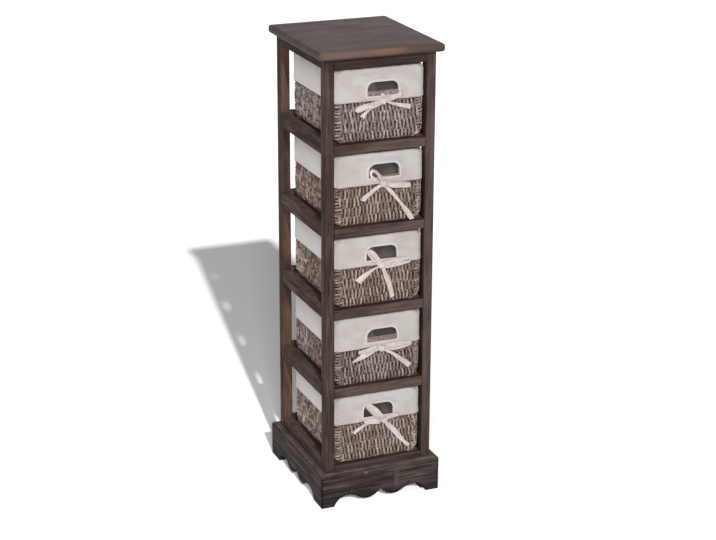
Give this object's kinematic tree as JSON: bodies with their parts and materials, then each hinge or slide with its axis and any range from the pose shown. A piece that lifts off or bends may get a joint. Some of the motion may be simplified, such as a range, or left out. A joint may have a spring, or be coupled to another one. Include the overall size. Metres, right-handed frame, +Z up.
{
  "type": "basket shelf",
  "caption": "Tall narrow wooden rack on a scalloped plinth, with cloth-lined woven pull-out baskets standing one above another in open bays.",
  "frame": {"origin": "on the floor under the middle of the rack", "axes": "+Z up, -Y is the front that the baskets slide out of, +X to the right when facing the front"},
  "size_m": [0.27, 0.306, 0.98],
  "materials": {
    "stained_wood": "dark brown stain, brushed grain, matt",
    "top_wood": "dark brown stain, rubbed lighter, matt",
    "panel_plywood": "thin stained plywood",
    "dowel_wood": "plain beech",
    "seagrass": "twisted dried leaf cord, woven",
    "wire": "plain drawn wire",
    "liner_cloth": "off-white cotton, plain weave",
    "ribbon": "cream cotton tape"
  },
  "bodies": {
    "rack": {"top": "top_wood", "post_front_left": "stained_wood", "post_front_right": "stained_wood", "post_back_left": "stained_wood", "post_back_right": "stained_wood", "rail_front_1": "stained_wood", "rail_front_2": "stained_wood", "rail_front_3": "stained_wood", "rail_front_4": "stained_wood", "rail_front_5": "stained_wood", "rail_front_6": "stained_wood", "rail_back_1": "stained_wood", "rail_back_2": "stained_wood", "rail_back_3": "stained_wood", "rail_back_4": "stained_wood", "rail_back_5": "stained_wood", "rail_back_6": "stained_wood", "rail_left_1": "stained_wood", "rail_left_2": "stained_wood", "rail_left_3": "stained_wood", "rail_left_4": "stained_wood", "rail_left_5": "stained_wood", "rail_left_6": "stained_wood", "rail_right_1": "stained_wood", "rail_right_2": "stained_wood", "rail_right_3": "stained_wood", "rail_right_4": "stained_wood", "rail_right_5": "stained_wood", "rail_right_6": "stained_wood", "shelf_panel_1": "panel_plywood", "shelf_panel_2": "panel_plywood", "shelf_panel_3": "panel_plywood", "shelf_panel_4": "panel_plywood", "shelf_panel_5": "panel_plywood", "plinth_front": "stained_wood", "plinth_back": "stained_wood", "plinth_left": "stained_wood", "plinth_right": "stained_wood", "dowels": "dowel_wood"},
    "basket_1": {"basket_weave_1": "seagrass", "basket_wire_1": "wire", "basket_liner_1": "liner_cloth", "basket_bow_1": "ribbon"},
    "basket_2": {"basket_weave_2": "seagrass", "basket_wire_2": "wire", "basket_liner_2": "liner_cloth", "basket_bow_2": "ribbon"},
    "basket_3": {"basket_weave_3": "seagrass", "basket_wire_3": "wire", "basket_liner_3": "liner_cloth", "basket_bow_3": "ribbon"},
    "basket_4": {"basket_weave_4": "seagrass", "basket_wire_4": "wire", "basket_liner_4": "liner_cloth", "basket_bow_4": "ribbon"},
    "basket_5": {"basket_weave_5": "seagrass", "basket_wire_5": "wire", "basket_liner_5": "liner_cloth", "basket_bow_5": "ribbon"}
  },
  "joints": [
    {"name": "basket_1_slide", "type": "slide", "parent": "rack", "child": "basket_1", "axis": [0, -1, 0], "range_m": [0, 0.26]},
    {"name": "basket_2_slide", "type": "slide", "parent": "rack", "child": "basket_2", "axis": [0, -1, 0], "range_m": [0, 0.26]},
    {"name": "basket_3_slide", "type": "slide", "parent": "rack", "child": "basket_3", "axis": [0, -1, 0], "range_m": [0, 0.26]},
    {"name": "basket_4_slide", "type": "slide", "parent": "rack", "child": "basket_4", "axis": [0, -1, 0], "range_m": [0, 0.26]},
    {"name": "basket_5_slide", "type": "slide", "parent": "rack", "child": "basket_5", "axis": [0, -1, 0], "range_m": [0, 0.26]}
  ]
}
